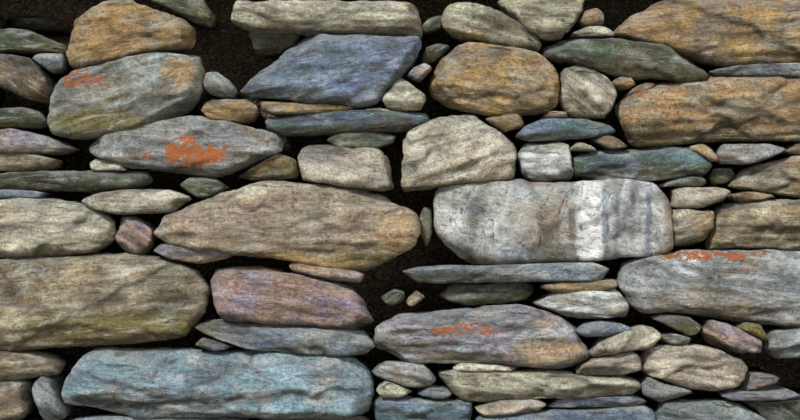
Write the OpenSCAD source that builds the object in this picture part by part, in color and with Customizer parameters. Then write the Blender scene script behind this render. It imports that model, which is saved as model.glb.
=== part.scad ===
// Free-standing dry stone wall of split schist: two faces of coursed rubble, a packed
// heart between them, through stones at both ends and flat capstones. Millimetres.

/* [Wall] */
// Length of the wall along the ground
wall_length = 2400; // [2200:10:2800]
// Thickness over the two faces at ground level
base_thickness = 660; // [600:5:760]
// Thickness over the two faces under the capstones
top_thickness = 500; // [460:5:560]
// Height of the coursed rubble between the footing and the levelling course
rubble_height = 900; // [820:10:1000]

/* [Footing] */
// Height of the footing stones
footing_height = 144; // [120:2:180]
// How far the footing stones stand out of the face
footing_step = 30; // [15:1:45]
// Number of footing stones along each face
footing_count = 5; // [4:1:7]

/* [Faces] */
// How far the face stones reach into the wall
stone_depth = 185; // [160:5:200]
// Width of the bevel round the front of a face stone, measured into the wall
bevel_depth = 30; // [20:1:45]
// Open joint between one lift of stones and the next
joint = 6; // [3:0.5:10]

/* [Ends] */
// Length of the end stones along the wall
end_stone_length = 334; // [280:2:360]
// How far every second end stone is drawn back from the end
end_stagger = 14; // [4:1:30]

/* [Levelling course] */
// Height of the flat stones under the capstones
level_height = 58; // [40:2:80]
// Number of flat stones along each face
level_count = 7; // [5:1:10]

/* [Capstones] */
// Thickness of the capstones
cap_height = 82; // [60:2:110]
// Number of capstones along the wall
cap_count = 8; // [6:1:11]
// How far the capstones overhang each face
cap_overhang = 14; // [5:1:25]

/* [Hidden] */

run_length = wall_length - 2 * end_stone_length - 2 * joint;
rubble_foot = footing_height + joint;
level_foot = rubble_foot + rubble_height + joint;
cap_foot = level_foot + level_height;
wall_top = cap_foot + cap_height;
batter = (base_thickness - top_thickness) / 2 / cap_foot;

stone_blue = [0.47, 0.53, 0.58];
stone_green = [0.36, 0.43, 0.40];
stone_brown = [0.52, 0.45, 0.36];
stone_grey = [0.60, 0.58, 0.54];
stone_dark = [0.22, 0.21, 0.19];

// Half the wall's thickness at a height
function half_at(z) = base_thickness / 2 - batter * z;
function sum(list, i = 0) = i >= len(list) ? 0 : list[i] + sum(list, i + 1);
function middle(line) = [sum([for (p = line) p[0]]), sum([for (p = line) p[1]])] / len(line);
// A repeatable number from -1 to 1 for an index
function vary(i) = sin(i * 137.5 + 40) * cos(i * 71 + 11);

// A point of the face at a depth behind it, on the front side
function at_depth(p, d) = [p[0], d - half_at(p[1]), p[1]];
// An outline drawn smaller about its middle and set at a depth
function ring(line, share, d) =
    let (c = middle(line)) [for (p = line) at_depth(c + (p - c) * share, d)];

// How large a stone's head and tail are drawn, as a share of its outline
head_share = 0.87;
tail_share = 0.75;

// A closed solid through rings of equal length, from the front ring to the back one
module rings_solid(rings) {
    n = len(rings[0]);
    last = (len(rings) - 1) * n;
    polyhedron(
        points = [for (r = rings) each r],
        faces = concat(
            [[for (i = [0:n - 1]) i]],
            [for (k = [0:len(rings) - 2], i = [0:n - 1])
                [k * n + i, k * n + n + i, k * n + n + (i + 1) % n, k * n + (i + 1) % n]],
            [[for (i = [n - 1:-1:0]) last + i]]),
        convexity = 4);
}

// One face stone: a bevelled head, a straight body and a tail that narrows into the heart
module face_stone(line, proud, depth) {
    rings_solid([
        ring(line, head_share, -proud),
        ring(line, 1, bevel_depth - proud),
        ring(line, 1, depth * 0.6),
        ring(line, tail_share, depth)]);
}
// A pinning, driven into a joint: it tapers all the way to its tail
module pinning_stone(line, proud, depth) {
    rings_solid([
        ring(line, head_share, -proud),
        ring(line, 1, bevel_depth * 0.6 - proud),
        ring(line, tail_share, depth)]);
}

// An outline of the drawing, set out on the real face
function on_face(line) = [for (p = line) [
    -run_length / 2 + (p[0] - drawn_left) * along,
    rubble_foot + (p[1] - drawn_foot) * rise]];

// A lift of face stones, and the pinnings, from their lists
module lift(stones) {
    for (s = stones) face_stone(on_face(s[1]), s[0], stone_depth);
}
module pinned(stones) {
    for (s = stones) pinning_stone(on_face(s[1]), s[0], stone_depth);
}

// The face stones are set out on a drawing of the face: x runs along it, z up it.
// The lifts come from the foot up, each from left to right. An entry holds how far the
// stone stands out, and the outline round its head.
course_1 = [
    [4, [[-60, -4], [60, -6], [84, -12], [80, -30], [-60, -30]]],
    [10, [[-60, 80], [40, 82], [54, 70], [60, 44], [48, 14], [0, 4], [-60, 4]]],
    [2, [[136, -2], [200, 6], [480, 6], [502, -6], [490, -30], [150, -30]]],
    [0, [[512, -4], [530, 8], [720, 8], [738, -2], [736, -30], [518, -30]]],
    [6, [[748, 36], [760, 44], [880, 42], [944, 38], [940, 0], [926, -30], [756, -30]]],
    [2, [[950, -30], [956, 0], [1000, 8], [1088, 18], [1290, 26], [1310, 10], [1310, -30]]],
    [8, [[1320, -30], [1316, 14], [1330, 34], [1440, 38], [1480, 28], [1550, -6], [1550, -30]]],
    [-6, [[1502, 34], [1530, 41], [1680, 46], [1680, -30], [1590, -30]]]];
course_2 = [
    [6, [[-60, 136], [20, 138], [80, 126], [116, 110], [110, 98], [40, 88], [-60, 88]]],
    [16, [[124, 56], [146, 106], [184, 134], [400, 138], [680, 130], [726, 106],
        [742, 62], [732, 30], [700, 16], [260, 14], [132, 38]]],
    [10, [[750, 98], [768, 114], [840, 114], [864, 94], [870, 80], [850, 72], [800, 78]]],
    [12, [[880, 94], [900, 98], [1090, 97], [1270, 80], [1278, 70], [1260, 60],
        [960, 46], [924, 46], [892, 76]]],
    [14, [[1288, 126], [1300, 140], [1330, 151], [1420, 148], [1480, 124], [1496, 106],
        [1476, 80], [1430, 66], [1380, 72], [1300, 94], [1286, 112]]],
    [4, [[1490, 78], [1502, 91], [1530, 92], [1552, 86], [1530, 68], [1488, 66]]],
    [-4, [[1536, 146], [1544, 174], [1600, 183], [1680, 186], [1680, 132], [1556, 128]]]];
course_3 = [
    [12, [[-60, 308], [60, 322], [180, 329], [300, 326], [360, 310], [400, 284], [410, 260],
        [402, 216], [360, 168], [240, 154], [20, 144], [-60, 150]]],
    [12, [[392, 188], [412, 198], [520, 195], [680, 178], [724, 172], [744, 152],
        [730, 142], [606, 137], [500, 145], [430, 166]]],
    [10, [[754, 146], [756, 180], [800, 208], [900, 220], [1054, 226], [1110, 210],
        [1144, 184], [1178, 146], [1176, 132], [1150, 116], [1080, 112], [800, 124]]],
    [18, [[1186, 136], [1204, 156], [1228, 167], [1284, 186], [1306, 182], [1316, 170],
        [1300, 152], [1240, 138], [1190, 130]]],
    [10, [[1410, 180], [1420, 197], [1470, 186], [1518, 158], [1520, 142], [1480, 140],
        [1424, 158]]]];
course_4 = [
    [10, [[418, 280], [432, 298], [480, 306], [560, 298], [700, 268], [724, 244],
        [744, 196], [736, 184], [450, 208], [430, 240]]],
    [-30, [[884, 248], [904, 266], [950, 272], [1050, 274], [1070, 262], [1056, 244],
        [1000, 231], [930, 231]]],
    [8, [[1078, 234], [1108, 249], [1150, 253], [1232, 255], [1256, 234], [1250, 212],
        [1200, 204], [1140, 212]]],
    [8, [[1244, 280], [1254, 312], [1320, 330], [1370, 338], [1600, 332], [1680, 326],
        [1680, 200], [1600, 190], [1440, 204], [1280, 224], [1262, 240]]]];
course_5 = [
    [6, [[-60, 430], [20, 440], [90, 442], [150, 430], [200, 412], [220, 396], [216, 360],
        [180, 338], [100, 336], [0, 334], [-60, 338]]],
    [2, [[228, 380], [234, 404], [270, 398], [300, 378], [302, 342], [290, 335], [246, 335],
        [230, 358]]],
    [24, [[310, 374], [330, 404], [380, 424], [470, 458], [540, 475], [740, 458], [824, 410],
        [836, 384], [820, 350], [730, 302], [480, 336], [330, 358]]],
    [14, [[872, 376], [870, 446], [888, 466], [1000, 474], [1310, 474], [1326, 460],
        [1344, 430], [1344, 346], [1328, 338], [1200, 326], [980, 312], [940, 316], [900, 344]]],
    [4, [[1354, 410], [1364, 418], [1430, 414], [1432, 398], [1420, 370], [1394, 348],
        [1356, 347]]],
    [0, [[1444, 416], [1480, 430], [1560, 438], [1680, 436], [1680, 352], [1600, 343],
        [1424, 345]]]];
course_6 = [
    [2, [[-60, 486], [110, 496], [280, 492], [288, 480], [250, 464], [160, 457],
        [-60, 470]]],
    [14, [[172, 546], [190, 562], [240, 575], [296, 588], [370, 602], [400, 601], [500, 584],
        [544, 572], [562, 556], [556, 540], [450, 496], [410, 489], [320, 498], [200, 530]]],
    [0, [[476, 488], [520, 514], [552, 530], [588, 518], [592, 490], [570, 483], [490, 483]]],
    [10, [[600, 500], [600, 532], [606, 540], [660, 544], [750, 538], [766, 522], [782, 468],
        [768, 464], [700, 470], [606, 484]]],
    [16, [[806, 466], [820, 574], [880, 598], [950, 608], [966, 600], [1004, 568],
        [1032, 542], [1026, 486], [810, 462]]],
    [10, [[1044, 538], [1056, 550], [1122, 556], [1138, 548], [1148, 486],
        [1120, 481], [1066, 482], [1048, 500]]],
    [6, [[1152, 520], [1180, 534], [1360, 546], [1400, 530], [1428, 508], [1416, 494],
        [1320, 482], [1200, 480], [1156, 492]]],
    [-2, [[1476, 470], [1500, 494], [1560, 514], [1600, 524], [1680, 520], [1680, 446],
        [1600, 446]]]];
course_7 = [
    [8, [[-60, 578], [10, 580], [80, 564], [130, 544], [100, 538], [30, 536],
        [-60, 538]]],
    [20, [[88, 596], [100, 660], [138, 698], [260, 728], [320, 734], [388, 726], [396, 700],
        [390, 640], [372, 618], [270, 586], [150, 564], [104, 574]]],
    [4, [[398, 622], [408, 638], [430, 641], [500, 634], [512, 618], [500, 602], [480, 598],
        [416, 606]]],
    [2, [[528, 600], [560, 606], [760, 620], [850, 610], [856, 596], [800, 582], [560, 576],
        [532, 586]]],
    [16, [[868, 690], [878, 722], [924, 754], [952, 758], [1076, 734],
        [1116, 706], [1121, 684], [1118, 634], [1100, 621], [974, 614], [890, 632], [868, 650]]],
    [10, [[1128, 698], [1142, 712], [1190, 704], [1216, 686], [1240, 654], [1234, 632],
        [1210, 604], [1152, 606], [1128, 640]]],
    [14, [[1246, 628], [1258, 640], [1330, 672], [1370, 680], [1680, 676], [1680, 562],
        [1640, 560], [1340, 552], [1276, 556], [1262, 588]]]];
course_8 = [
    [-8, [[-60, 736], [20, 736], [48, 724], [92, 656], [90, 640], [60, 640],
        [-60, 700]]],
    [-24, [[-60, 784], [20, 786], [108, 752], [114, 742], [60, 742], [-60, 746]]],
    [16, [[122, 728], [128, 796], [204, 836], [244, 840], [366, 800], [376, 784], [364, 756],
        [220, 724], [140, 712]]],
    [10, [[458, 806], [470, 836], [830, 834], [842, 816], [840, 772], [640, 780], [480, 796]]],
    [18, [[474, 658], [606, 772], [834, 764], [836, 750], [800, 700], [752, 640], [736, 632],
        [490, 646]]],
    [6, [[888, 800], [898, 828], [924, 836], [1010, 812], [1072, 770], [1086, 754],
        [1080, 742], [1040, 744], [904, 780]]],
    [10, [[996, 842], [1080, 860], [1172, 848], [1170, 820], [1146, 786], [1120, 766],
        [1084, 772], [1040, 806]]],
    [8, [[1094, 742], [1120, 758], [1180, 764], [1280, 757], [1380, 736], [1408, 718],
        [1424, 692], [1410, 684], [1270, 686], [1096, 734]]],
    [4, [[1240, 778], [1280, 812], [1330, 842], [1640, 856], [1680, 850], [1680, 740],
        [1600, 720], [1470, 716], [1400, 733]]]];
pinnings = [
    [2, [[68, 72], [86, 90], [100, 82], [122, 30], [128, 12], [116, 2], [94, 2]]],
    [8, [[394, 154], [404, 164], [440, 156], [456, 149], [420, 145]]],
    [12, [[756, 66], [772, 80], [800, 70], [816, 62], [790, 53], [766, 53]]],
    [0, [[842, 58], [860, 67], [884, 65], [900, 56], [880, 49]]],
    [4, [[956, 28], [1000, 42], [1060, 46], [1088, 36], [1072, 27], [974, 13]]],
    [-14, [[1104, 34], [1120, 46], [1270, 50], [1290, 40], [1280, 33]]],
    [6, [[910, 108], [920, 115], [1000, 111], [1024, 107], [1000, 104], [918, 104]]],
    [12, [[1154, 99], [1164, 112], [1190, 123], [1264, 137], [1278, 128], [1279, 108],
        [1240, 98], [1162, 96]]],
    [2, [[1286, 78], [1296, 86], [1376, 62], [1318, 44], [1290, 58]]],
    [6, [[1446, 54], [1480, 60], [1580, 61], [1592, 54], [1540, 49], [1460, 48]]],
    [0, [[1156, 180], [1170, 192], [1200, 197], [1240, 192], [1256, 185], [1210, 173],
        [1166, 172]]],
    [-6, [[1310, 206], [1326, 211], [1380, 204], [1402, 188], [1394, 177], [1380, 173]]],
    [6, [[1480, 188], [1492, 195], [1522, 188], [1532, 168], [1524, 165]]],
    [-4, [[1322, 166], [1350, 172], [1378, 165], [1374, 158], [1340, 158]]],
    [-20, [[766, 244], [788, 258], [806, 254], [804, 242], [780, 232]]],
    [-16, [[814, 238], [834, 254], [846, 246], [822, 230]]],
    [6, [[810, 298], [836, 303], [1120, 312], [1190, 312], [1222, 300], [1200, 284],
        [860, 277], [828, 280]]],
    [4, [[1088, 268], [1120, 273], [1234, 280], [1235, 270], [1222, 262],
        [1110, 259]]],
    [6, [[308, 340], [318, 350], [380, 344], [440, 336], [456, 328], [400, 317], [340, 325]]],
    [10, [[580, 309], [596, 314], [700, 298], [724, 290], [718, 279], [670, 283], [584, 302]]],
    [-22, [[843, 408], [850, 424], [862, 420], [862, 372], [854, 352], [845, 370]]],
    [-10, [[-60, 456], [30, 458], [78, 452], [74, 447], [-60, 446]]],
    [8, [[164, 438], [190, 448], [240, 457], [330, 458], [376, 442], [342, 418], [230, 416],
        [180, 426]]],
    [-12, [[356, 470], [376, 484], [424, 480], [450, 464], [410, 446], [390, 447]]],
    [-6, [[1332, 470], [1364, 480], [1408, 486], [1416, 474], [1400, 469]]],
    [4, [[1352, 458], [1372, 463], [1448, 463], [1464, 456], [1450, 442], [1400, 427],
        [1354, 429]]],
    [-34, [[1432, 486], [1440, 500], [1476, 500], [1480, 490], [1462, 475], [1436, 475]]],
    [2, [[1474, 447], [1500, 454], [1530, 454], [1548, 448], [1500, 441], [1478, 441]]],
    [0, [[-60, 528], [60, 530], [104, 518], [98, 506], [60, 499], [-60, 502]]],
    [-8, [[174, 514], [184, 520], [230, 512], [240, 502], [180, 501]]],
    [-4, [[656, 560], [672, 572], [760, 572], [788, 566], [784, 556], [750, 546], [670, 549]]],
    [2, [[978, 602], [994, 609], [1034, 611], [1048, 600], [1048, 589], [1012, 579]]],
    [4, [[1036, 566], [1056, 584], [1090, 598], [1180, 599], [1224, 586], [1232, 577],
        [1180, 568], [1060, 559]]],
    [0, [[1092, 606], [1100, 613], [1134, 615], [1136, 606]]],
    [2, [[1146, 542], [1160, 552], [1180, 546], [1190, 541]]],
    [4, [[1194, 560], [1218, 566], [1240, 558], [1254, 548], [1224, 545]]],
    [2, [[1388, 544], [1410, 548], [1426, 540], [1438, 522], [1426, 520]]],
    [8, [[1444, 534], [1452, 547], [1540, 549], [1570, 540], [1540, 526], [1500, 512],
        [1448, 515]]],
    [-10, [[1584, 538], [1600, 549], [1680, 551], [1680, 531], [1610, 531]]],
    [-10, [[-60, 616], [30, 624], [62, 614], [80, 594], [60, 588], [-60, 590]]],
    [-6, [[400, 675], [408, 692], [426, 694], [450, 676], [464, 658], [460, 647], [440, 647],
        [412, 658]]],
    [0, [[520, 634], [600, 634], [700, 624], [690, 619], [550, 613], [522, 620]]],
    [8, [[768, 640], [782, 662], [800, 684], [822, 670], [850, 646], [840, 624], [800, 622],
        [774, 628]]],
    [4, [[818, 690], [828, 702], [852, 711], [860, 704], [838, 682]]],
    [-30, [[846, 720], [854, 746], [880, 757], [900, 751], [880, 731], [864, 719]]],
    [-40, [[848, 792], [862, 808], [882, 812], [882, 792], [852, 784]]],
    [-20, [[52, 726], [62, 733], [108, 733], [114, 720], [112, 706], [90, 700]]],
    [-26, [[-60, 824], [20, 836], [110, 798], [112, 790], [20, 793], [-60, 795]]],
    [-30, [[290, 850], [390, 850], [416, 812], [408, 798], [378, 804]]],
    [-40, [[488, 786], [590, 777], [580, 758], [540, 742], [504, 742]]],
    [0, [[1168, 800], [1178, 816], [1200, 822], [1212, 812], [1210, 796], [1178, 791]]],
    [4, [[1154, 774], [1180, 784], [1204, 786], [1230, 780], [1232, 771], [1160, 770]]],
    [-4, [[1234, 676], [1246, 684], [1266, 682], [1274, 672], [1254, 664], [1242, 666]]],
    [-2, [[1264, 652], [1276, 662], [1302, 673], [1314, 671], [1300, 664], [1280, 656]]],
    [0, [[1434, 698], [1480, 706], [1600, 712], [1680, 710], [1680, 690], [1600, 685],
        [1500, 687], [1442, 691]]]];

// Heights on the drawing at which the rows of end stones part
end_rows = [-30, 84, 200, 312, 436, 540, 640, 742, 870];

// The drawing is stretched to fill the face between the ends, the footing and the top.
lifts = [course_1, course_2, course_3, course_4, course_5, course_6, course_7, course_8];
drawn_places = [for (l = lifts, s = l, p = s[1]) p[0]];
drawn_left = min(drawn_places);
drawn_foot = end_rows[0];
along = run_length / (max(drawn_places) - drawn_left);
rise = rubble_height / (end_rows[len(end_rows) - 1] - drawn_foot);

// A stone's outline in a cell of the face, with uneven corners
function rough_block(x0, x1, z0, z1, seed) =
    let (w = x1 - x0, h = z1 - z0, a = 0.12 + 0.05 * vary(seed), b = 0.12 + 0.05 * vary(seed + 1))
    [[x0, z0 + h * a], [x0, z1 - h * b * 1.6], [x0 + w * a * 0.7, z1 - h * 0.04],
     [x0 + w * 0.5, z1], [x1 - w * b, z1 - h * 0.05], [x1, z1 - h * a * 1.8],
     [x1, z0 + h * b], [x1 - w * a * 0.6, z0], [x0 + w * b * 0.5, z0]];

// A row of such stones along the run between the ends, each with its own width
module row(count, z0, z1, proud, seed) {
    pitch = run_length / count;
    function cut(i) = -run_length / 2 + i * pitch
        + (i == 0 || i == count ? 0 : pitch * 0.16 * vary(seed + i * 3));
    for (i = [0:count - 1])
        face_stone(
            rough_block(cut(i) + (i == 0 ? 0 : joint), cut(i + 1), z0, z1, seed + i),
            proud + 5 * vary(seed + i * 7), stone_depth);
}

// A mirror image of a ring on the far side of the wall
function far_side(r) = [for (p = r) [p[0], -p[1], p[2]]];
// A stone that runs through the whole thickness
module through_stone(line, proud) {
    head = ring(line, head_share, -proud);
    shoulder = ring(line, 1, bevel_depth - proud);
    rings_solid([head, shoulder, far_side(shoulder), far_side(head)]);
}
// Half of a pair that meets near the middle of the wall
module half_stone(line, proud) {
    rings_solid([
        ring(line, head_share, -proud),
        ring(line, 1, bevel_depth - proud),
        [for (p = line) [p[0], -joint, p[1]]]]);
}

// Height of the foot of an end row, the footing being the first row
function row_foot(i) = i == 0 ? 0 : rubble_foot + (end_rows[i - 1] - drawn_foot) * rise;
function row_top(i) = i == 0 ? footing_height
    : i == len(end_rows) ? cap_foot - 0.3 : row_foot(i + 1) - joint;
// The outline of an end stone at the left-hand end
function end_line(i) = rough_block(
    -wall_length / 2 + (i % 2 == 1 ? end_stagger : i == 0 ? 0 : end_stagger / 2),
    -wall_length / 2 + end_stone_length, row_foot(i), row_top(i), i * 5);

module end_throughs() {
    for (i = [0:2:len(end_rows)])
        through_stone(end_line(i), i == 0 ? footing_step : 6 + 4 * vary(i));
}
module end_pairs() {
    for (i = [1:2:len(end_rows)]) {
        half_stone(end_line(i), 4 + 4 * vary(i));
        mirror([0, 1, 0]) half_stone(end_line(i), 6 - 4 * vary(i));
    }
}

module left_end_throughs() { color(stone_grey) end_throughs(); }
module left_end_pairs() { color(stone_brown) end_pairs(); }
module right_end_throughs() { color(stone_grey) mirror([1, 0, 0]) end_throughs(); }
module right_end_pairs() { color(stone_brown) mirror([1, 0, 0]) end_pairs(); }

// The packed heart: small stones between the tails of the two faces, kept as one mass
module hearting() {
    foot = half_at(0) - stone_depth;
    head = half_at(cap_foot) - stone_depth;
    length = run_length + 2 * joint;
    color(stone_dark)
        translate([-length / 2, 0, 0])
            rotate([90, 0, 90])
                linear_extrude(length)
                    polygon([[-foot, 0], [foot, 0], [head, cap_foot], [-head, cap_foot]]);
}

module footing() { row(footing_count, 0, footing_height, footing_step, 3); }
module footing_front() { color(stone_grey) footing(); }
module footing_back() { color(stone_grey) mirror([0, 1, 0]) footing(); }

module level() { row(level_count, level_foot, cap_foot - 0.3, 4, 20); }
module level_front() { color(stone_brown) level(); }
module level_back() { color(stone_brown) mirror([0, 1, 0]) level(); }

// The capstones lie flat on the heart and the levelling stones, from face to face.
module capstones() {
    pitch = wall_length / cap_count;
    reach = half_at(cap_foot) + cap_overhang;
    function cut(i) = -wall_length / 2 + i * pitch
        + (i == 0 || i == cap_count ? 0 : pitch * 0.12 * vary(i * 5 + 2));
    function plan(i) = let (x0 = cut(i) + (i == 0 ? 0 : joint), x1 = cut(i + 1), w = x1 - x0)
        [[x0, -reach * 0.86], [x0 + w * 0.1, -reach], [x1 - w * 0.16, -reach * 0.98],
         [x1, -reach * 0.8], [x1, reach * 0.88], [x1 - w * 0.12, reach],
         [x0 + w * 0.2, reach * 0.98], [x0, reach * 0.82]];
    function level_ring(line, share, z) =
        let (c = middle(line)) [for (p = line) [each (c + (p - c) * share), z]];
    color(stone_grey)
        for (i = [0:cap_count - 1]) {
            top = wall_top - 5 + 5 * vary(i + 4);
            rings_solid([
                level_ring(plan(i), 0.93, top),
                level_ring(plan(i), 1, top - cap_height * 0.3),
                level_ring(plan(i), 1, cap_foot + cap_height * 0.2),
                level_ring(plan(i), 0.96, cap_foot)]);
        }
}

module front_course_1() { color(stone_green) lift(course_1); }
module front_course_2() { color(stone_blue) lift(course_2); }
module front_course_3() { color(stone_grey) lift(course_3); }
module front_course_4() { color(stone_grey) lift(course_4); }
module front_course_5() { color(stone_grey) lift(course_5); }
module front_course_6() { color(stone_blue) lift(course_6); }
module front_course_7() { color(stone_brown) lift(course_7); }
module front_course_8() { color(stone_green) lift(course_8); }
module front_pinnings() { color(stone_green) pinned(pinnings); }
module back_course_1() { mirror([0, 1, 0]) front_course_1(); }
module back_course_2() { mirror([0, 1, 0]) front_course_2(); }
module back_course_3() { mirror([0, 1, 0]) front_course_3(); }
module back_course_4() { mirror([0, 1, 0]) front_course_4(); }
module back_course_5() { mirror([0, 1, 0]) front_course_5(); }
module back_course_6() { mirror([0, 1, 0]) front_course_6(); }
module back_course_7() { mirror([0, 1, 0]) front_course_7(); }
module back_course_8() { mirror([0, 1, 0]) front_course_8(); }
module back_pinnings() { mirror([0, 1, 0]) front_pinnings(); }

hearting();
footing_front();
footing_back();
front_course_1();
front_course_2();
front_course_3();
front_course_4();
front_course_5();
front_course_6();
front_course_7();
front_course_8();
front_pinnings();
back_course_1();
back_course_2();
back_course_3();
back_course_4();
back_course_5();
back_course_6();
back_course_7();
back_course_8();
back_pinnings();
left_end_throughs();
left_end_pairs();
right_end_throughs();
right_end_pairs();
level_front();
level_back();
capstones();
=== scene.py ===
import math

import bpy
import numpy as np
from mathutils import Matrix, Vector


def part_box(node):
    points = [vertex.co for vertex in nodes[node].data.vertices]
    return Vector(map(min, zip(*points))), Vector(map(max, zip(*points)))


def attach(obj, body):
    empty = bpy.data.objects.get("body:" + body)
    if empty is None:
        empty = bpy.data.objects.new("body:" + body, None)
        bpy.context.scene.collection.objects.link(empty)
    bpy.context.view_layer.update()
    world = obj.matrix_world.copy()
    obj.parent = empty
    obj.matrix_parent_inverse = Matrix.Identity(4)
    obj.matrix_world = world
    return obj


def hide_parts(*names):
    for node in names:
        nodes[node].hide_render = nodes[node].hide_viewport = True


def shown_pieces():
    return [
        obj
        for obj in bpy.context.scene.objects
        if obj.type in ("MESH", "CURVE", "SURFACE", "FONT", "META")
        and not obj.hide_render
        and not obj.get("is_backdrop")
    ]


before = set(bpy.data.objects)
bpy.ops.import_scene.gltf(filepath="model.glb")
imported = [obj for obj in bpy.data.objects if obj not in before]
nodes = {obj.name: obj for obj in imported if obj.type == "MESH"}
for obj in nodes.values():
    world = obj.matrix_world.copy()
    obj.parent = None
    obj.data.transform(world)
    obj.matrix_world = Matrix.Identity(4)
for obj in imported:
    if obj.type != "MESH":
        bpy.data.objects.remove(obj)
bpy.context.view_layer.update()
print("frame loaded:", len(nodes), "nodes")


# The camera looks straight at the front face, as the photograph does.
view = {"across": 1.582, "middle": (-0.010, -0.287, 0.600), "distance": 2.8}
cameraData = bpy.data.cameras.new("camera")
cameraData.sensor_width = 36
cameraData.lens = 36 * view["distance"] / view["across"]
camera = bpy.data.objects.new("camera", cameraData)
camera.location = (
    view["middle"][0],
    view["middle"][1] - view["distance"],
    view["middle"][2],
)
camera.rotation_euler = (math.radians(90), 0, 0)
bpy.context.scene.collection.objects.link(camera)
bpy.context.scene.camera = camera
bpy.context.scene.view_settings.view_transform = "Standard"


# Seeded smooth noise, mostly within -1 to 1, for whole arrays of points at once. Each
# cell corner has a slope of its own, which is blended with its neighbours' slopes.
def cornerSlopes(cells, seed):
    h = (
        cells[:, 0] * 374761393
        + cells[:, 1] * 668265263
        + cells[:, 2] * 1440662683
        + seed * 1274126177
    ) & 0xFFFFFFFF
    h = ((h ^ (h >> 13)) * 1274126177) & 0xFFFFFFFF
    h = ((h ^ (h >> 16)) * 2246822519) & 0xFFFFFFFF
    h = h ^ (h >> 15)
    return np.stack([(h >> shift) & 1023 for shift in (0, 10, 20)], 1) / 511.5 - 1


def noiseAt(points, size, seed):
    q = points / np.asarray(size, float)
    base = np.floor(q).astype(np.int64)
    f = q - base
    blend = f * f * f * (f * (f * 6 - 15) + 10)
    total = np.zeros(len(points))
    for corner in range(8):
        c = np.array([corner & 1, corner >> 1 & 1, corner >> 2 & 1])
        weight = np.prod(np.where(c == 1, blend, 1 - blend), axis=1)
        total += weight * np.einsum("ij,ij->i", cornerSlopes(base + c, seed), f - c)
    return np.clip(total * 1.9, -1, 1)


def smoothStep(low, high, value):
    t = np.clip((value - low) / (high - low), 0, 1)
    return t * t * (3 - 2 * t)


# The separate solids of a CAD node, each as its corner points and its outward planes.
def solidsOf(name):
    mesh = nodes[name].data
    points = np.array([v.co for v in mesh.vertices], float)
    mesh.calc_loop_triangles()
    triangles = np.array([t.vertices for t in mesh.loop_triangles])
    unique, index = np.unique(np.round(points, 6), axis=0, return_inverse=True)
    triangles = index.reshape(-1)[triangles]
    parent = np.arange(len(unique))

    def root(i):
        while parent[i] != i:
            parent[i] = parent[parent[i]]
            i = parent[i]
        return i

    for a, b, c in triangles:
        parent[root(a)] = root(b)
        parent[root(b)] = root(c)
    groups = np.array([root(i) for i in range(len(unique))])
    solids = []
    for g in np.unique(groups):
        corners = unique[groups == g]
        own = triangles[groups[triangles[:, 0]] == g]
        centre = (corners.min(0) + corners.max(0)) / 2
        a, b, c = (unique[own[:, k]] for k in range(3))
        normals = np.cross(b - a, c - a)
        areas = np.linalg.norm(normals, axis=1)
        keep = areas > 1e-9
        normals = normals[keep] / areas[keep, None]
        offsets = np.einsum("ij,ij->i", normals, a[keep] - centre)
        order = np.argsort(-areas[keep])
        planes = []
        for i in order:
            if all(normals[i] @ n < 0.998 or abs(offsets[i] - h) > 0.004 for n, h in planes):
                planes.append((normals[i], max(offsets[i], 0.002)))
        solids.append({"corners": corners, "centre": centre, "planes": planes})
    solids.sort(key=lambda s: s["centre"][0])
    return solids


# A closed grid over a box from -1 to 1: a fine head, rows down the sides, and a tail
# that is either a second fine face or a fan.
def boxGrid(across, up, rows, twoHeads):
    u = np.linspace(-1, 1, across + 1)
    w = np.linspace(-1, 1, up + 1)
    ring = (
        [(i, 0) for i in range(across)]
        + [(across, j) for j in range(up)]
        + [(i, up) for i in range(across, 0, -1)]
        + [(0, j) for j in range(up, 0, -1)]
    )
    points = [(a, -1.0, b) for b in w for a in u]
    faces = []
    for j in range(up):
        for i in range(across):
            k = j * (across + 1) + i
            faces.append((k, k + 1, k + across + 2, k + across + 1))
    previous = [j * (across + 1) + i for i, j in ring]
    inner = rows[1:] if not twoHeads else rows[1:-1]
    for v in inner:
        first = len(points)
        points += [(u[i], v, w[j]) for i, j in ring]
        current = list(range(first, first + len(ring)))
        for k in range(len(ring)):
            n = (k + 1) % len(ring)
            faces.append((previous[n], previous[k], current[k], current[n]))
        previous = current
    if twoHeads:
        first = len(points)
        points += [(a, 1.0, b) for b in w for a in u]
        for j in range(up):
            for i in range(across):
                k = first + j * (across + 1) + i
                faces.append((k, k + across + 1, k + across + 2, k + 1))
        current = [first + j * (across + 1) + i for i, j in ring]
        for k in range(len(ring)):
            n = (k + 1) % len(ring)
            faces.append((previous[n], previous[k], current[k], current[n]))
    else:
        points.append((0.0, 1.0, 0.0))
        for k in range(len(ring)):
            n = (k + 1) % len(ring)
            faces.append((previous[n], previous[k], len(points) - 1))
    return np.array(points), faces


def vertexNormals(points, faces):
    quads = np.array([f if len(f) == 4 else (*f, f[2]) for f in faces])
    a, b, c, d = (points[quads[:, k]] for k in range(4))
    flat = np.cross(c - a, d - b)
    normals = np.zeros_like(points)
    for k in range(4):
        np.add.at(normals, quads[:, k], flat)
    return normals / np.maximum(np.linalg.norm(normals, axis=1, keepdims=True), 1e-12)


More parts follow.
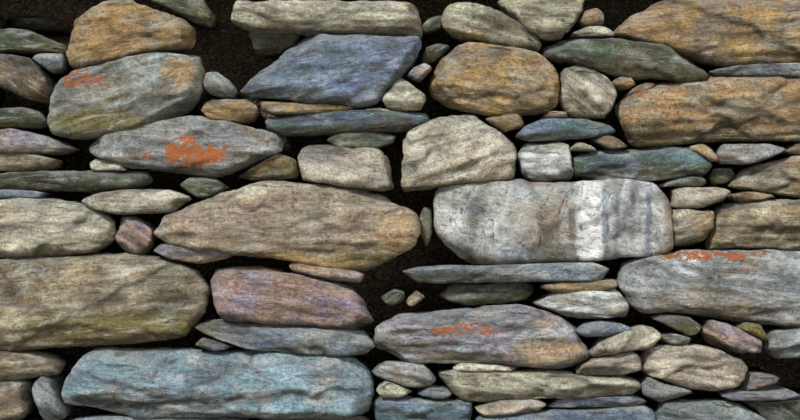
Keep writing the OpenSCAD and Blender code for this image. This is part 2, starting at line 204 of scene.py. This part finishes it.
# One stone: the solid's planes and a few seeded chips, rounded a little where they meet,
# then worn with lumps, the thin beds of split schist, and roughness.
def shapeStone(solid, how, seed):
    rng = np.random.default_rng(seed)
    corners, centre = solid["corners"], solid["centre"]
    half = (corners.max(0) - corners.min(0)) / 2
    axes = how["axes"]
    across = max(3, round(2 * half[axes[0]] / how["step"]))
    up = max(3, round(2 * half[axes[2]] / how["step"]))
    grid, faces = boxGrid(across, up, how["rows"], how["twoHeads"])
    turned = np.zeros_like(grid)
    for k, axis in enumerate(axes):
        turned[:, axis] = grid[:, k]
    if how["flip"] < 0:
        turned[:, axes[1]] *= -1
    flipped = (how["flip"] < 0) != (axes == (0, 2, 1))
    if flipped:
        faces = [tuple(reversed(f)) for f in faces]
    rays = turned * half
    depth = axes[1]
    planes = [
        (n, h + (how["grow"] if abs(n[depth]) < 0.8 else 0)) for n, h in solid["planes"]
    ]
    for k in range(how["facets"] + how["chips"]):
        if k < how["facets"]:
            n = rng.uniform(-0.34, 0.34, 3)
            n[depth] = -how["flip"]
        else:
            n = rng.normal(size=3) / np.maximum(half, 0.03)
            n /= np.linalg.norm(n)
            n[depth] = -how["flip"] * rng.uniform(0.25, 1.1)
        n /= np.linalg.norm(n)
        reach = ((corners - centre) @ n).max()
        cut = min(rng.uniform(0.2, 1.0) * how["chipDepth"], reach * 0.2)
        planes.append((n, reach - cut))
    # the face turns under towards its lower edge, and a little back at its upper one
    for over, low, high in ((-1, 0.25, 0.5), (1, 0.1, 0.25)):
        strip = rng.uniform(low, high) * 2 * half[axes[2]]
        fall = rng.uniform(0.4, 1.0) * min(1.0, how["under"] / strip)
        n = np.zeros(3)
        n[axes[0]] = rng.uniform(-0.12, 0.12)
        n[depth] = -how["flip"]
        n[axes[2]] = over * fall
        n /= np.linalg.norm(n)
        edge = abs(n[depth]) * half[depth] + abs(n[axes[2]]) * (half[axes[2]] - strip)
        planes.append((n, edge))
    n = np.array([p[0] for p in planes])
    h = np.array([p[1] for p in planes])
    ratio = np.maximum(rays @ n.T / h, 1e-6)
    length = np.linalg.norm(rays, axis=1)
    soft = how["round"] * rng.uniform(0.6, 1.8)
    power = np.clip(0.69 * length / soft, 6, 90)[:, None]
    logs = power * np.log(ratio)
    top = logs.max(1, keepdims=True)
    total = top[:, 0] + np.log(np.exp(logs - top).sum(1))
    points = rays * np.exp(-total / power[:, 0])[:, None]
    normals = vertexNormals(points, faces)

    # the bedding runs along the stone's long side, as it splits
    flatShape = (corners - centre)[:, [axes[0], axes[2]]]
    spread = np.cov(flatShape.T)
    tilt = 0.5 * math.atan2(2 * spread[0, 1], spread[0, 0] - spread[1, 1])
    tilt = max(-0.7, min(0.7, tilt)) + rng.uniform(-0.05, 0.05) + how.get("turn", 0)
    lean = rng.uniform(-0.2, 0.2)
    bed = points.copy()
    along, over = points[:, axes[0]], points[:, axes[2]]
    bed[:, 0] = along * math.cos(tilt) + over * math.sin(tilt)
    bed[:, 2] = over * math.cos(tilt) - along * math.sin(tilt)
    bed[:, 1] = points[:, depth]
    if depth == 2:
        bed = points.copy()
    bed[:, 2] *= how.get("calm", 1)
    bed[:, 2] += bed[:, 1] * lean
    local = bed.copy()
    bed += rng.uniform(0, 7, 3)
    size = min(half[axes[0]], half[axes[2]])
    lump = noiseAt(bed, (0.11, 0.08, 0.06), seed) * 0.65 + noiseAt(bed, 0.03, seed + 1) * 0.35
    thick = np.tanh(3.5 * noiseAt(bed, (0.14, 0.10, 0.024), seed + 2))
    thin = np.tanh(3.5 * noiseAt(bed, (0.09, 0.07, 0.010), seed + 3))
    beds = thick * 0.62 + thin * 0.38
    rough = noiseAt(bed, 0.012, seed + 4) * 0.6 + noiseAt(bed, (0.02, 0.02, 0.006), seed + 5) * 0.4

    # where a sheet has split off, a ledge runs across the face for part of the way
    steps = np.zeros(len(points))
    crease = np.zeros(len(points))
    for k in range(how["ledges"]):
        turn = rng.normal(0, 0.25)
        line = local[:, 2] * math.cos(turn) + local[:, 0] * math.sin(turn)
        line = line - rng.uniform(-0.75, 0.75) * half[axes[2]]
        line += noiseAt(bed, (0.045, 0.05, 0.2), seed + 20 + k) * 0.009
        line += noiseAt(bed, (0.015, 0.05, 0.1), seed + 30 + k) * 0.003
        part = smoothStep(-0.25, 0.15, noiseAt(bed, (0.12, 0.1, 0.1), seed + 40 + k))
        steps += rng.choice([-1, 1]) * rng.uniform(0.4, 1) * np.tanh(line / 0.002) * part
        # the crease carries painted shade along each ledge's edge
        crease = np.maximum(crease, np.exp(-((line / 0.0045) ** 2)) * part)
    # the outline stays crisp: the wear belongs mostly to the face itself
    worn = 0.55 + 0.45 * smoothStep(0.35, 0.85, np.abs(normals[:, depth]))
    shift = rough * how["rough"] + worn * (
        lump * min(how["lump"], size * 0.16)
        + beds * min(how["beds"], size * 0.10)
        + steps * min(how["ledge"], size * 0.10)
    )
    points = points + normals * shift[:, None] + centre
    return {
        "points": points,
        "faces": faces,
        "bed": bed,
        "relief": shift / max(how["lump"], 1e-4),
        "beds": beds,
        "crease": crease,
        "half": half,
        "centre": centre,
        "seed": seed,
    }


# Stone colours, as seen in soft daylight, from 0 to 255.
tones = {
    "slate": (92, 108, 130), "blue": (116, 132, 144), "blueGreen": (120, 152, 158),
    "teal": (76, 108, 106), "moss": (92, 104, 82), "grey": (134, 137, 132),
    "paleGrey": (174, 177, 174), "white": (226, 226, 222), "lilac": (150, 140, 152),
    "pink": (166, 139, 125), "beige": (168, 160, 138), "paleBeige": (198, 191, 170),
    "brown": (134, 118, 94), "darkBrown": (86, 72, 55), "ochre": (170, 137, 84),
    "orangeBrown": (156, 122, 84), "olive": (112, 102, 46), "darkOlive": (66, 66, 44),
    "darkGrey": (76, 80, 84), "soilAndShade": (44, 36, 27), "lichen": (212, 112, 34), "tan": (152, 133, 114),
}


def linear(tone):
    c = np.array(tones[tone]) / 255
    return np.where(c > 0.04045, ((c + 0.055) / 1.055) ** 2.4, c / 12.92)


# What each kind of stone is made of: its main tone, the tone of its beds and patches,
# a third tone in spots, how much pale crust it carries, and how bedded it looks.
looks = {
    "slate": ("slate", "blue", "darkGrey", 0.25, 0.9),
    "blue": ("blue", "grey", "slate", 0.35, 0.8),
    "slab": ("blueGreen", "blue", "paleGrey", 0.5, 0.9),
    "teal": ("teal", "slate", "moss", 0.15, 0.7),
    "moss": ("moss", "darkOlive", "grey", 0.3, 0.6),
    "grey": ("grey", "paleGrey", "brown", 0.45, 0.6),
    "pale": ("paleGrey", "white", "beige", 0.4, 0.5),
    "lilac": ("lilac", "grey", "pink", 0.4, 0.6),
    "mauve": ("pink", "lilac", "brown", 0.3, 0.7),
    "pink": ("pink", "brown", "lilac", 0.25, 0.4),
    "tan": ("tan", "beige", "brown", 0.25, 0.4),
    "beige": ("beige", "paleBeige", "brown", 0.35, 0.7),
    "layered": ("paleBeige", "beige", "brown", 0.4, 1.0),
    "brown": ("brown", "beige", "darkBrown", 0.25, 0.6),
    "dark": ("darkBrown", "darkOlive", "brown", 0.15, 0.6),
    "ochre": ("ochre", "brown", "beige", 0.2, 0.5),
    "rust": ("orangeBrown", "brown", "beige", 0.25, 0.6),
    "olive": ("olive", "ochre", "grey", 0.25, 0.5),
    "shade": ("darkOlive", "moss", "darkGrey", 0.15, 0.6),
    "streaked": ("paleGrey", "grey", "slate", 0.3, 0.7),
}

# The kinds of the front stones, from left to right in each lift.
lifts = {
    "course_1": "brown blue blue dark teal slate blue moss",
    "course_2": "brown slab grey layered layered lilac grey",
    "course_3": "brown blue lilac beige mauve",
    "course_4": "mauve moss pale grey",
    "course_5": "beige pink tan streaked brown brown",
    "course_6": "moss grey olive beige beige pale teal brown",
    "course_7": "lilac grey ochre teal ochre beige rust",
    # the top lift's first stone is of the dark kind, its tone holding soil and painted shade
    "course_8": "dark moss ochre layered slate brown beige moss ochre",
    "pinnings": "blue shade brown moss blue blue beige beige moss lilac shade blue lilac "
    "shade ochre pink moss layered shade beige brown lilac teal shade blue shade beige "
    "ochre blue beige pink teal ochre beige brown beige slate blue layered pink brown "
    "brown blue grey shade moss beige ochre shade olive grey ochre lilac blue brown",
}


# A place on the front face from the photograph's pixels, in metres along and up. The
# drawn face is drawn in a little, so that it fits between the end stones.
picture = {"pixel": 0.002, "rows": 420, "left": -0.860, "margin": 0.060,
           "foot": 0.180, "drawnIn": 0.98851}


def facePlace(right, down):
    along = (picture["pixel"] * right + picture["margin"]) * picture["drawnIn"]
    up = (picture["rows"] - down) * picture["pixel"]
    return picture["left"] + along, picture["foot"] + up


# Marks on single stones: kind, place in the photograph, half width and half height in
# its pixels, and strength.
marks = [
    ("lichen", 196, 154, 44, 15, 1.0), ("lichen", 76, 80, 26, 12, 0.75),
    ("lichen", 462, 328, 44, 8, 0.7), ("lichen", 712, 255, 58, 5, 0.9),
    ("lichen", 660, 92, 34, 12, 0.45), ("lichen", 345, 152, 34, 6, 0.35),
    ("white", 591, 222, 15, 40, 1.0), ("white", 564, 226, 4, 17, 1.0),
    ("rust", 552, 215, 18, 30, 0.16), ("brown", 540, 240, 30, 16, 0.25),
    ("white", 634, 218, 34, 44, 0.45), ("slate", 604, 216, 3, 30, 0.7),
    ("slate", 616, 232, 2.5, 34, 0.5), ("slate", 632, 212, 2.5, 30, 0.5),
    ("slate", 648, 218, 3, 36, 0.6), ("rust", 668, 222, 5, 38, 0.7),
    ("rust", 520, 185, 46, 3, 0.5), ("ochre", 180, 72, 22, 16, 0.8),
    ("ochre", 405, 232, 30, 30, 0.5), ("olive", 350, 258, 70, 10, 0.6),
    ("ochre", 285, 262, 90, 10, 0.6),
    ("ochre", 545, 350, 40, 14, 0.7), ("ochre", 110, 40, 50, 20, 0.5),
    ("olive", 95, 122, 60, 12, 0.8), ("olive", 120, 330, 90, 20, 0.85),
    ("shade", 130, 336, 80, 10, 0.5),
    ("brown", 545, 222, 30, 26, 0.45), ("brown", 100, 90, 50, 18, 0.3),
    ("pale", 60, 222, 60, 14, 0.5), ("pale", 440, 150, 30, 20, 0.35),
    ("brown", 700, 305, 100, 20, 0.35), ("pale", 330, 175, 46, 12, 0.5),
]
markTone = {"lichen": "lichen", "white": "white", "ochre": "ochre", "olive": "olive",
            "brown": "brown", "pale": "paleBeige", "slate": "slate",
            "rust": "orangeBrown", "shade": "darkBrown"}

# The stone with the white vein has its bedding standing across it.
special = {("front_course_5", 3): {"turn": 1.3, "calm": 0.35, "beds": 0.002, "ledges": 5}}


# Half the wall's thickness at the ground, and how much it leans in for each metre up.
wall = {"halfFoot": 0.330, "batter": 0.0718}


def paintStone(stone, look, normals, side, rng):
    main, second, third, crust, bedded = looks[look]
    p, bed, seed = stone["points"], stone["bed"], stone["seed"]
    streaks = noiseAt(bed, (0.13, 0.09, 0.012), seed + 11)
    patches = noiseAt(bed, 0.055, seed + 12) * 0.6 + noiseAt(bed, 0.021, seed + 13) * 0.4
    blend = smoothStep(-0.35, 0.45, streaks * bedded * 0.7 + patches * (1.1 - bedded * 0.5))
    spots = smoothStep(0.16, 0.6, noiseAt(bed, (0.05, 0.05, 0.028), seed + 14)) * 0.7
    colour = linear(main) * (1 - blend[:, None]) + linear(second) * blend[:, None]
    colour = colour * (1 - spots[:, None]) + linear(third) * spots[:, None]
    colour *= 1 + rng.uniform(-0.12, 0.12) + rng.uniform(-0.04, 0.04, 3)
    # painted shade in the hollows and painted highlight on the raised parts and bed ridges of the
    # worn face
    colour *= (1 + 0.22 * np.clip(stone["relief"], -1.5, 1.5) + 0.16 * stone["beds"])[:, None]
    colour *= (1 + 0.30 * noiseAt(bed, (0.07, 0.07, 0.035), seed + 10))[:, None]

    def toward(tone, amount):
        nonlocal colour
        colour = colour * (1 - amount[:, None]) + linear(tone) * amount[:, None]

    # up-facing parts are paler; undersides and each stone's lower part get an olive tint and painted
    # shade, and ochre lies in patches
    ragged = noiseAt(bed, 0.03, seed + 15) * 0.35
    low = (stone["centre"][2] - p[:, 2]) / np.maximum(stone["half"][2], 0.01)
    stainAndShade = smoothStep(0.0, 0.9, -normals[:, 2] + ragged + low * 0.4)
    toward("olive", stainAndShade * 0.5)
    # painted shade: darker where the surface faces down and towards the stone's foot
    colour *= (1 - 0.42 * stainAndShade)[:, None]
    warm = 0.3 if look in ("ochre", "rust", "brown", "olive") else 0.10
    toward("ochre", smoothStep(0.1, 0.5, noiseAt(bed, 0.08, seed + 17)) * warm)
    cool = smoothStep(0.1, 0.5, noiseAt(bed, 0.07, seed + 18)) * 0.3
    toward("blue", cool * (1.0 if look in ("slate", "blue", "slab", "grey", "lilac") else 0.15))
    toward("paleGrey", smoothStep(0.25, 0.9, normals[:, 2] + ragged) * 0.3)
    orange = np.zeros(len(p))
    pale = np.full(len(p), crust) * (0.6 + 0.4 * smoothStep(-0.2, 0.8, normals[:, 2]))
    if side < 0:
        for kind, right, down, wide, high, strength in marks:
            x, z = facePlace(right, down)
            power = 5 if kind in ("white", "slate") else 2
            far = np.abs((p[:, 0] - x) / (wide * 2e-3)) ** power
            far = (far + np.abs((p[:, 2] - z) / (high * 2e-3)) ** power) ** (1 / power)
            if kind in ("white", "slate"):
                edge = smoothStep(1.12, 0.88, far + ragged * 0.4)
            else:
                edge = smoothStep(1.25, 0.55, far + ragged * 1.2)
            if kind == "lichen":
                orange = np.maximum(orange, edge * strength)
            else:
                toward(markTone[kind], edge * strength)
    elif rng.uniform() < 0.3:
        orange += smoothStep(0.15, 0.7, noiseAt(bed, 0.06, seed + 16)) * 0.5
    # darker the deeper a surface lies behind the wall's face in the joints: soil there and painted
    # shade
    if side:
        face = wall["halfFoot"] - wall["batter"] * p[:, 2]
        deep = face - np.abs(p[:, 1])
        toward("soilAndShade", smoothStep(0.050, 0.140, deep + ragged * 0.03) * 0.9)
    return np.clip(colour, 0.01, 0.9), orange, pale


def buildStones(name, settings, kinds, side):
    points, faces, tint, growthAndShade, beds = [], [], [], [], []
    solids = solidsOf(name)
    count = 0
    for i, solid in enumerate(solids):
        seed = settings["seed"] * 100 + i * 7
        rng = np.random.default_rng(seed + 3)
        how = dict(settings)
        how.update(special.get((name, i), {}))
        stone = shapeStone(solid, how, seed)
        normals = vertexNormals(stone["points"], stone["faces"])
        look = kinds[i % len(kinds)]
        colour, orange, pale = paintStone(stone, look, normals, side, rng)
        stone["points"][:, 2] = np.maximum(stone["points"][:, 2], 0)
        points.append(stone["points"])
        faces += [tuple(v + count for v in f) for f in stone["faces"]]
        count += len(stone["points"])
        tint.append(colour)
        growthAndShade.append(np.stack([orange, pale, stone["crease"]], 1))
        beds.append(stone["bed"])
    mesh = bpy.data.meshes.new(name + "_stones")
    mesh.from_pydata(np.concatenate(points).tolist(), [], faces)
    mesh.polygons.foreach_set("use_smooth", [True] * len(mesh.polygons))
    for label, values in (("tint", tint), ("growthAndShade", growthAndShade)):
        layer = mesh.color_attributes.new(label, "FLOAT_COLOR", "POINT")
        flat = np.concatenate(values)
        layer.data.foreach_set("color", np.c_[flat, np.ones(len(flat))].ravel())
    layer = mesh.attributes.new("bed", "FLOAT_VECTOR", "POINT")
    layer.data.foreach_set("vector", np.concatenate(beds).ravel())
    piece = bpy.data.objects.new(name + "_stones", mesh)
    bpy.context.scene.collection.objects.link(piece)
    mesh.materials.append(settings["material"])
    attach(piece, "root")
    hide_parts(name)
    print(name, len(solids), "stones,", len(mesh.polygons), "faces")
    return piece


class Wire:
    def __init__(self, tree, socket):
        self.tree = tree
        self.socket = socket

    def maths(self, operation, first, second=0.0):
        return addNode(self.tree, "Math", {"operation": operation}, {0: first, 1: second})

    def __add__(self, other):
        return self.maths("ADD", self, other)

    def __radd__(self, other):
        return self.maths("ADD", other, self)

    def __sub__(self, other):
        return self.maths("SUBTRACT", self, other)

    def __rsub__(self, other):
        return self.maths("SUBTRACT", other, self)

    def __mul__(self, other):
        return self.maths("MULTIPLY", self, other)

    def __rmul__(self, other):
        return self.maths("MULTIPLY", other, self)

    def above(self, low):
        return self.maths("MAXIMUM", self, low)

    def below(self, high):
        return self.maths("MINIMUM", self, high)

    def size(self):
        return self.maths("ABSOLUTE", self)

    def between(self, low, high):
        values = {"Value": self, "From Min": low, "From Max": high}
        return addNode(
            self.tree, "MapRange", {"interpolation_type": "SMOOTHSTEP"}, values, "Result"
        )


def feed(tree, socket, value):
    if isinstance(value, Wire):
        tree.links.new(value.socket, socket)
    elif isinstance(value, str):
        socket.default_value = (*linear(value), 1)
    else:
        socket.default_value = value


# Makes a node, sets it, feeds its sockets by name or number, and gives back one output.
def addNode(tree, kind, settings=None, sockets=None, output=0):
    made = tree.nodes.new("ShaderNode" + kind)
    for label, value in (settings or {}).items():
        setattr(made, label, value)
    for place, value in (sockets or {}).items():
        feed(tree, made.inputs[place], value)
    return Wire(tree, made.outputs[output])


class Painter:
    def __init__(self, name):
        self.material = bpy.data.materials.new(name)
        self.material.use_nodes = True
        self.tree = self.material.node_tree
        self.shader = self.tree.nodes["Principled BSDF"]

    def node(self, kind, settings=None, output=0, **values):
        return addNode(self.tree, kind, settings, values, output)

    # sockets 6 and 7 and output 2 are the Mix node's colours
    def mix(self, amount, first, second):
        values = {0: amount, 6: first, 7: second}
        return addNode(self.tree, "Mix", {"data_type": "RGBA"}, values, 2)

    def stretched(self, place, scale):
        return self.node("Mapping", {"vector_type": "POINT"}, Vector=place, Scale=scale)

    def noise(self, place, scale, detail=4.0, roughness=0.6, distortion=0.0):
        return self.node(
            "TexNoise", Vector=place, Scale=scale, Detail=detail, Roughness=roughness,
            Distortion=distortion,
        )

    def scaled(self, colour, amount):
        return self.node("VectorMath", {"operation": "SCALE"}, Vector=colour, Scale=amount)

    def finish(self, colour, roughness, height, distance):
        feed(self.tree, self.shader.inputs["Base Color"], colour)
        feed(self.tree, self.shader.inputs["Roughness"], roughness)
        self.shader.inputs["Specular IOR Level"].default_value = 0.35
        bump = self.node("Bump", Height=height, Distance=distance)
        feed(self.tree, self.shader.inputs["Normal"], bump)
        return self.material


def stoneMaterial(name, how):
    m = Painter(name)
    bed = m.node("Attribute", {"attribute_name": "bed"}, output=1)
    tint = m.node("Attribute", {"attribute_name": "tint"})
    growthAndShade = m.node("Attribute", {"attribute_name": "growthAndShade"})
    shares = m.node("SeparateColor", Color=growthAndShade).socket.node.outputs
    orangeShare, paleShare, crease = (Wire(m.tree, share) for share in shares)

    # thin beds of the schist, drawn along each stone's own bedding
    fine = m.noise(m.stretched(bed, (95, 95, 200)), 1.0, 6.0, 0.8, 0.4)
    broad = m.noise(m.stretched(bed, (14, 14, 56)), 1.0, 9.0, 0.74, 1.3)
    grain = m.noise(bed, 150.0, 6.0, 0.9)
    patch = m.noise(bed, 30.0, 9.0, 0.7, 0.5)
    ridge = m.noise(m.stretched(bed, (5, 5, 46)), 1.0, 4.0, 0.6, 0.8)
    fissure = (1 - (ridge - 0.5).size().between(0.0, 0.012)) * patch.between(0.47, 0.60)

    # the tint's brightness follows the same noises as the bump: painted shade in the hollows and
    # painted highlight on the ridges, together with the bedding's streaks
    light = (
        how["level"] + (fine.between(0.34, 0.66) - 0.5) * how["streak"]
        + (broad.between(0.34, 0.66) - 0.5) * 0.95
        + (grain.between(0.38, 0.62) - 0.5) * 1.05
        + (patch - 0.5) * 2.0
    )
    tone = m.scaled(tint, light.above(0.3))
    tone = m.mix(broad.between(0.55, 0.64) * how["pale"], tone, "white")
    tone = m.mix(patch.between(0.58, 0.70) * 0.22, tone, how["stainAndShade"])
    tone = m.mix((1 - patch.between(0.30, 0.42)) * 0.35, tone, how["dark"])
    specks = m.noise(bed, 330.0, 4.0, 0.9)
    tone = m.mix(specks.between(0.57, 0.66) * (paleShare * 0.9 + 0.1), tone, "white")
    tone = m.mix((1 - specks.between(0.36, 0.44)) * 0.5, tone, "darkGrey")
    # painted shade in the fissures and along the ledges' creases
    tone = m.mix((fissure * 0.8 + crease * (grain.between(0.3, 0.6)) * 0.75).below(0.9),
                 tone, "soilAndShade")

    # pale crusts, and orange lichen in clusters of small lobes
    crustSpots = m.noise(bed, 62.0, 4.0, 0.6, 0.5)
    crust = (crustSpots + paleShare * 0.16).between(0.62, 0.70) * paleShare * 0.6
    tone = m.mix(crust, tone, "paleGrey")
    lobes = m.noise(bed, 105.0, 5.0, 0.66, 0.8)
    orange = (lobes + orangeShare * 0.24).between(0.64, 0.70) * orangeShare.between(0.1, 0.5)
    tone = m.mix(orange * 0.92, tone, m.mix(grain.between(0.2, 0.5), "orangeBrown", "lichen"))

    height = (
        fine * 1.0 + broad * 2.4 + patch * 1.8 + grain * 1.1 - fissure * 1.2 + orange * 0.25
    )
    roughness = 0.6 + grain * 0.14 + patch * 0.2 + orange * 0.1
    return m.finish(tone, roughness, height, how["bump"])


materials = {
    "schist": stoneMaterial("schist", {
        "level": 1.52, "streak": 0.7, "dark": "darkGrey", "stainAndShade": "ochre",
        "bump": 0.015, "pale": 0.46}),
    "footing": stoneMaterial("footing_stone", {
        "level": 1.25, "streak": 0.6, "dark": "soilAndShade", "stainAndShade": "brown",
        "bump": 0.012, "pale": 0.25}),
    "cap": stoneMaterial("capstone", {
        "level": 1.05, "streak": 0.6, "dark": "darkGrey", "stainAndShade": "brown",
        "bump": 0.012, "pale": 0.2}),
}

frontRows = [-1, -0.97, -0.92, -0.84, -0.74, -0.6, -0.35, 1]
faceStone = {
    "axes": (0, 1, 2), "flip": 1, "rows": frontRows, "twoHeads": False, "step": 0.0050,
    "facets": 4, "chips": 5, "chipDepth": 0.014, "round": 0.0020, "grow": 0.0055,
    "lump": 0.0075, "beds": 0.0042, "rough": 0.0018, "ledges": 4, "ledge": 0.0042, "under": 0.022,
    "slot": "schist",
    "material": materials["schist"], "seed": 1,
}
pinning = dict(faceStone, step=0.0044, facets=2, chips=3, chipDepth=0.006, round=0.0012,
               grow=0.004, lump=0.003, beds=0.0022, rough=0.0010, ledges=1, ledge=0.0015,
               slot="schist_pinning")
backStone = dict(faceStone, flip=-1, step=0.0085)
backPinning = dict(pinning, flip=-1, step=0.007)
for i in range(1, 9):
    name = f"course_{i}"
    kinds = lifts[name].split()
    buildStones("front_" + name, dict(faceStone, seed=i), kinds, -1)
    shifted = kinds[i % len(kinds):] + kinds[: i % len(kinds)]
    buildStones("back_" + name, dict(backStone, seed=20 + i), shifted, 1)
kinds = lifts["pinnings"].split()
buildStones("front_pinnings", dict(pinning, seed=10), kinds, -1)
buildStones("back_pinnings", dict(backPinning, seed=30), kinds[9:] + kinds[:9], 1)
print("faces done")

# The end stones, seen from three sides.
endRows = [-1, -0.98, -0.94, -0.86, -0.74, -0.6, -0.44, -0.26, -0.08,
           0.08, 0.26, 0.44, 0.6, 0.74, 0.86, 0.94, 0.98, 1]
throughStone = dict(faceStone, rows=endRows, twoHeads=True, step=0.011, chips=8,
                    grow=0.002, round=0.003, ledges=4, seed=40)
endKinds = "beige grey brown moss grey layered blue lilac".split()
for k, side in enumerate(("left", "right")):
    buildStones(side + "_end_throughs", dict(throughStone, seed=41 + k), endKinds[k:], 0)
    buildStones(side + "_end_pairs", dict(throughStone, seed=43 + k), endKinds[3 - k:], 0)

levelStone = dict(faceStone, step=0.008, seed=50)
buildStones("level_front", levelStone, "beige blue grey brown layered moss lilac".split(), 0)
buildStones("level_back", dict(levelStone, flip=-1, seed=51),
            "grey beige moss pale brown blue ochre".split(), 0)
footingStone = dict(faceStone, step=0.009, lump=0.008, round=0.004, seed=52,
                    slot="footing_stone", material=materials["footing"])
buildStones("footing_front", footingStone, "grey brown moss grey ochre".split(), 0)
buildStones("footing_back", dict(footingStone, flip=-1, seed=53), "brown grey".split(), 0)
capStone = dict(faceStone, axes=(0, 2, 1), flip=-1, under=0.008, step=0.0105, seed=54,
                rows=[-1, -0.9, -0.7, -0.4, 0, 0.4, 0.8, 1], chips=9, lump=0.005,
                slot="capstone", material=materials["cap"])
buildStones("capstones", capStone, "grey beige grey lilac grey brown blue grey".split(), 0)
print("ends, footing and capstones done")


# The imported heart: the CAD prism with its sides broken up into small stones.
def buildHearting(how):
    low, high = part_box("hearting")
    solid = solidsOf("hearting")[0]
    half = (solid["corners"].max(0) - solid["corners"].min(0)) / 2
    grid, faces = boxGrid(how["across"], how["up"], [-1, -0.5, 0, 0.5, 1], True)
    points = grid * half
    share = (points[:, 2] / half[2] + 1) / 2
    foot = high[1]
    head = np.abs(solid["corners"][solid["corners"][:, 2] > high[2] - 1e-4][:, 1]).max()
    points[:, 1] = grid[:, 1] * (foot + (head - foot) * share)
    points += solid["centre"]
    normals = vertexNormals(points, faces)
    rubble = noiseAt(points, (0.06, 0.06, 0.035), 7)
    shift = rubble * how["lump"] + noiseAt(points, 0.02, 8) * how["rough"] - how["lump"]
    inner = (points[:, 2] > 0.01) & (points[:, 2] < high[2] - 0.01)
    points += normals * (shift * inner)[:, None]
    mesh = bpy.data.meshes.new("hearting_rubble")
    mesh.from_pydata(points.tolist(), [], faces)
    mesh.materials.append(how["material"])
    piece = bpy.data.objects.new("hearting_rubble", mesh)
    bpy.context.scene.collection.objects.link(piece)
    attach(piece, "root")
    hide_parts("hearting")


def rubbleMaterial():
    m = Painter("heart_rubble")
    place = m.node("TexCoord", output=3)
    lumps = m.node("TexVoronoi", {"feature": "F1"}, Vector=m.stretched(place, (26, 26, 44)))
    grain = m.noise(place, 120.0, 5.0, 0.65)
    tone = m.mix(grain.between(0.35, 0.7), "darkBrown", "brown")
    # soil and painted shade in the gaps between the lumps
    tone = m.mix(lumps.between(0.25, 0.7) * 0.6, tone, "soilAndShade")
    return m.finish(tone, 0.8 + grain * 0.15, grain * 0.5 - lumps * 1.5, 0.006)


buildHearting({"across": 110, "up": 70, "lump": 0.010, "rough": 0.004,
               "material": rubbleMaterial()})

# A plain pale floor, even soft light from above on both sides, and a pale backdrop.
floorMesh = bpy.data.meshes.new("floor")
floorMesh.from_pydata(
    [(-40, -40, 0), (40, -40, 0), (40, 40, 0), (-40, 40, 0)], [], [(0, 1, 2, 3)]
)
floor = bpy.data.objects.new("floor", floorMesh)
bpy.context.scene.collection.objects.link(floor)
ground = Painter("floor")
ground.shader.inputs["Base Color"].default_value = (0.40, 0.398, 0.393, 1)
ground.shader.inputs["Roughness"].default_value = 0.9
floorMesh.materials.append(ground.material)
floor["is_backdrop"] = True

suns = [
    {"name": "key", "toward": (-0.42, -0.60, 0.68), "strength": 4.9, "spread": 9},
    {"name": "fill", "toward": (0.62, -0.72, 0.30), "strength": 1.0, "spread": 40},
    {"name": "rear", "toward": (0.34, 0.76, 0.55), "strength": 2.2, "spread": 25},
]
for sun in suns:
    data = bpy.data.lights.new(sun["name"], "SUN")
    data.energy = sun["strength"]
    data.angle = math.radians(sun["spread"])
    light = bpy.data.objects.new(sun["name"], data)
    light.rotation_euler = Vector(sun["toward"]).to_track_quat("Z", "Y").to_euler()
    bpy.context.scene.collection.objects.link(light)

world = bpy.data.worlds.new("studio")
bpy.context.scene.world = world
world.use_nodes = True
tree = world.node_tree
background = tree.nodes["Background"]
background.inputs["Color"].default_value = (0.93, 0.93, 0.925, 1)
seen = addNode(tree, "LightPath", output="Is Camera Ray").above(
    addNode(tree, "LightPath", output="Is Glossy Ray")
)
feed(tree, background.inputs["Strength"], seen * 0.47 + 0.5)  # what is seen is brighter

total = 0
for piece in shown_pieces():
    piece.data.calc_loop_triangles()
    total += len(piece.data.loop_triangles)
print("triangles:", total)
